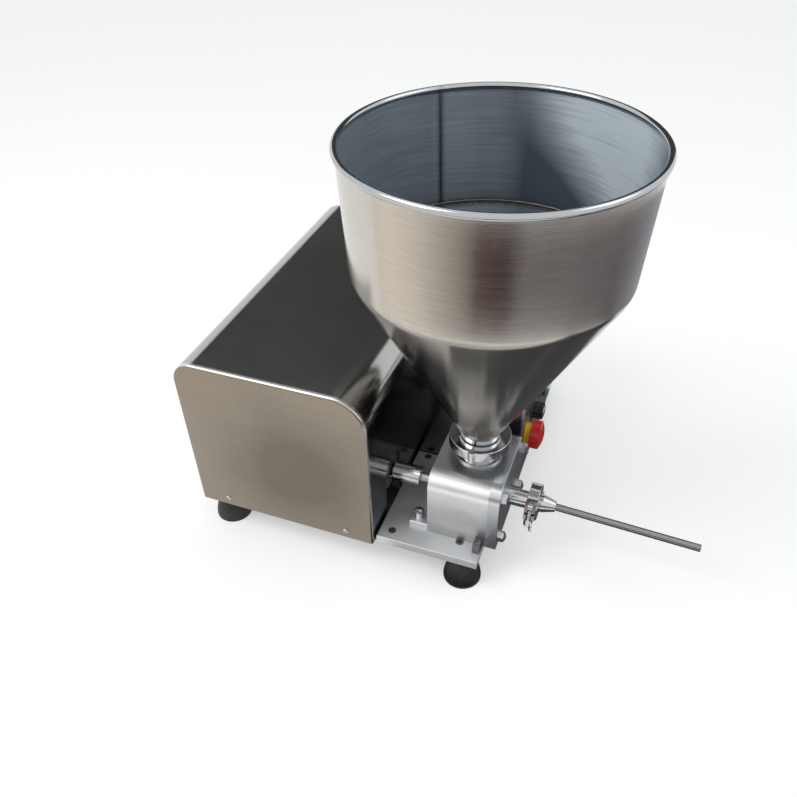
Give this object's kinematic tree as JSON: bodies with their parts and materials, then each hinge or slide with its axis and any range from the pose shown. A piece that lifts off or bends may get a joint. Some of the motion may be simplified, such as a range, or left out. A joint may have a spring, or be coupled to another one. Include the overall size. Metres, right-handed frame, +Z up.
{
  "type": "filling injector machine",
  "caption": "Bench filling injector: conical hopper clamped over a gear pump with a long needle, driven through a coupling from a geared motor in a sheet steel casing with a control box.",
  "frame": {"origin": "middle of the machine's footprint on the ground, at the underside of the feet", "axes": "+X along the needle, from the casing to the tip; +Y from the front to the rear; +Z up"},
  "size_m": [0.6566, 0.5216, 0.563],
  "materials": {
    "casing_steel": "satin brushed stainless sheet",
    "frame_steel": "plain stainless plate",
    "hopper_steel": "circular-brushed stainless sheet",
    "pump_metal": "fine-milled satin metal",
    "polished_steel": "turned and polished stainless",
    "clamp_steel": "tumbled cast stainless",
    "fastener_steel": "bright stainless fasteners",
    "gear_steel": "ground steel",
    "bush_bronze": "plain bronze",
    "foot_rubber": "black moulded rubber",
    "seal_rubber": "white food-grade rubber",
    "motor_paint": "grey motor paint",
    "stator_iron": "varnished laminations",
    "controller_plastic": "dark moulded case",
    "estop_yellow": "yellow collar",
    "estop_red": "red mushroom head",
    "black_plastic": "black moulded plastic",
    "bezel_chrome": "plated ring",
    "button_green": "green cap"
  },
  "bodies": {
    "machine": {"main_cover": "casing_steel", "front_panel": "casing_steel", "rear_panel": "casing_steel", "control_box_cover": "casing_steel", "control_panel": "casing_steel", "bottom_plate": "frame_steel", "hopper_shell": "hopper_steel", "hopper_cone": "hopper_steel", "base_plate": "pump_metal", "pump_body": "pump_metal", "pump_end_cover": "pump_metal", "pump_hold_downs": "pump_metal", "hopper_ferrule": "polished_steel", "inlet_spigot": "polished_steel", "outlet_ferrule": "polished_steel", "nozzle_reducer": "polished_steel", "filling_needle": "polished_steel", "hopper_clamp_near_half": "clamp_steel", "hopper_clamp_far_half": "clamp_steel", "nozzle_clamp_near_half": "clamp_steel", "nozzle_clamp_far_half": "clamp_steel", "clamp_pins": "clamp_steel", "panel_screws": "fastener_steel", "foot_bolts": "fastener_steel", "base_plate_screws": "fastener_steel", "pump_studs": "fastener_steel", "pump_cover_nuts": "fastener_steel", "hold_down_bolts": "fastener_steel", "drive_bearings": "gear_steel", "gear_bushes": "bush_bronze", "rubber_feet": "foot_rubber", "hopper_gasket": "seal_rubber", "nozzle_gasket": "seal_rubber", "pump_cover_seal": "seal_rubber", "shaft_seal": "seal_rubber", "motor_housing": "motor_paint", "motor_end_bell": "motor_paint", "gearbox_case": "motor_paint", "motor_stator": "stator_iron", "motor_controller": "controller_plastic", "estop_base": "estop_yellow", "speed_knob_base": "black_plastic", "mains_inlet": "black_plastic", "start_button_base": "bezel_chrome", "pedal_socket": "bezel_chrome"},
    "rotor": {"motor_rotor": "gear_steel"},
    "countershaft": {"gearbox_countershaft": "gear_steel"},
    "pump_drive": {"gearbox_output_shaft": "gear_steel", "coupling_sleeve": "polished_steel", "coupling_pin": "fastener_steel", "pump_drive_gear": "gear_steel"},
    "pump_idler": {"pump_idler_gear": "gear_steel"},
    "hopper_bolt": {"hopper_clamp_bolt": "clamp_steel"},
    "hopper_nut": {"hopper_clamp_nut": "clamp_steel"},
    "nozzle_bolt": {"nozzle_clamp_bolt": "clamp_steel"},
    "nozzle_nut": {"nozzle_clamp_nut": "clamp_steel"},
    "estop": {"estop_head": "estop_red"},
    "speed_control": {"speed_knob": "black_plastic"},
    "start_button": {"start_button_cap": "button_green"},
    "mains_rocker": {"power_rocker": "black_plastic"}
  },
  "joints": [
    {"name": "rotor_spin", "type": "hinge", "parent": "machine", "child": "rotor", "pos_m": [-0.22025, -0.1222, 0.1045], "axis": [1, 0, 0], "continuous": true},
    {"name": "countershaft_spin", "type": "hinge", "parent": "machine", "child": "countershaft", "pos_m": [-0.13025, -0.1222, 0.1525], "axis": [1, 0, 0], "continuous": true},
    {"name": "pump_drive_spin", "type": "hinge", "parent": "machine", "child": "pump_drive", "pos_m": [-0.05025, -0.1222, 0.1045], "axis": [1, 0, 0], "continuous": true},
    {"name": "pump_idler_spin", "type": "hinge", "parent": "machine", "child": "pump_idler", "pos_m": [0.04475, -0.0862, 0.1045], "axis": [1, 0, 0], "continuous": true},
    {"name": "hopper_bolt_swing", "type": "hinge", "parent": "machine", "child": "hopper_bolt", "pos_m": [0.04875, -0.0527, 0.179], "axis": [0, 0, -1], "range_deg": [0, 40]},
    {"name": "hopper_nut_spin", "type": "hinge", "parent": "hopper_bolt", "child": "hopper_nut", "pos_m": [0.02375, -0.0527, 0.179], "axis": [-1, 0, 0], "continuous": true},
    {"name": "nozzle_bolt_swing", "type": "hinge", "parent": "machine", "child": "nozzle_bolt", "pos_m": [0.11925, -0.132, 0.11013], "axis": [-1, 0, 0], "range_deg": [0, 95]},
    {"name": "nozzle_nut_spin", "type": "hinge", "parent": "nozzle_bolt", "child": "nozzle_nut", "pos_m": [0.11925, -0.14055, 0.08664], "axis": [0, -0.342, -0.9397], "continuous": true},
    {"name": "estop_press", "type": "slide", "parent": "machine", "child": "estop", "axis": [-1, 0, 0], "range_m": [0, 0.004]},
    {"name": "speed_knob_turn", "type": "hinge", "parent": "machine", "child": "speed_control", "pos_m": [0.08875, 0.0398, 0.122], "axis": [1, 0, 0], "range_deg": [-140, 140]},
    {"name": "start_button_press", "type": "slide", "parent": "machine", "child": "start_button", "axis": [-1, 0, 0], "range_m": [0, 0.003], "stiffness_N_per_m": 350},
    {"name": "mains_rocker_tip", "type": "hinge", "parent": "machine", "child": "mains_rocker", "pos_m": [-0.26825, 0.2534, 0.112], "axis": [1, 0, 0], "range_deg": [-16, 0]}
  ],
  "couplings": [
    {"joint": "countershaft_spin", "follows": "rotor_spin", "ratio": -0.28},
    {"joint": "pump_drive_spin", "follows": "rotor_spin", "ratio": 0.093333},
    {"joint": "pump_idler_spin", "follows": "rotor_spin", "ratio": -0.093333}
  ]
}
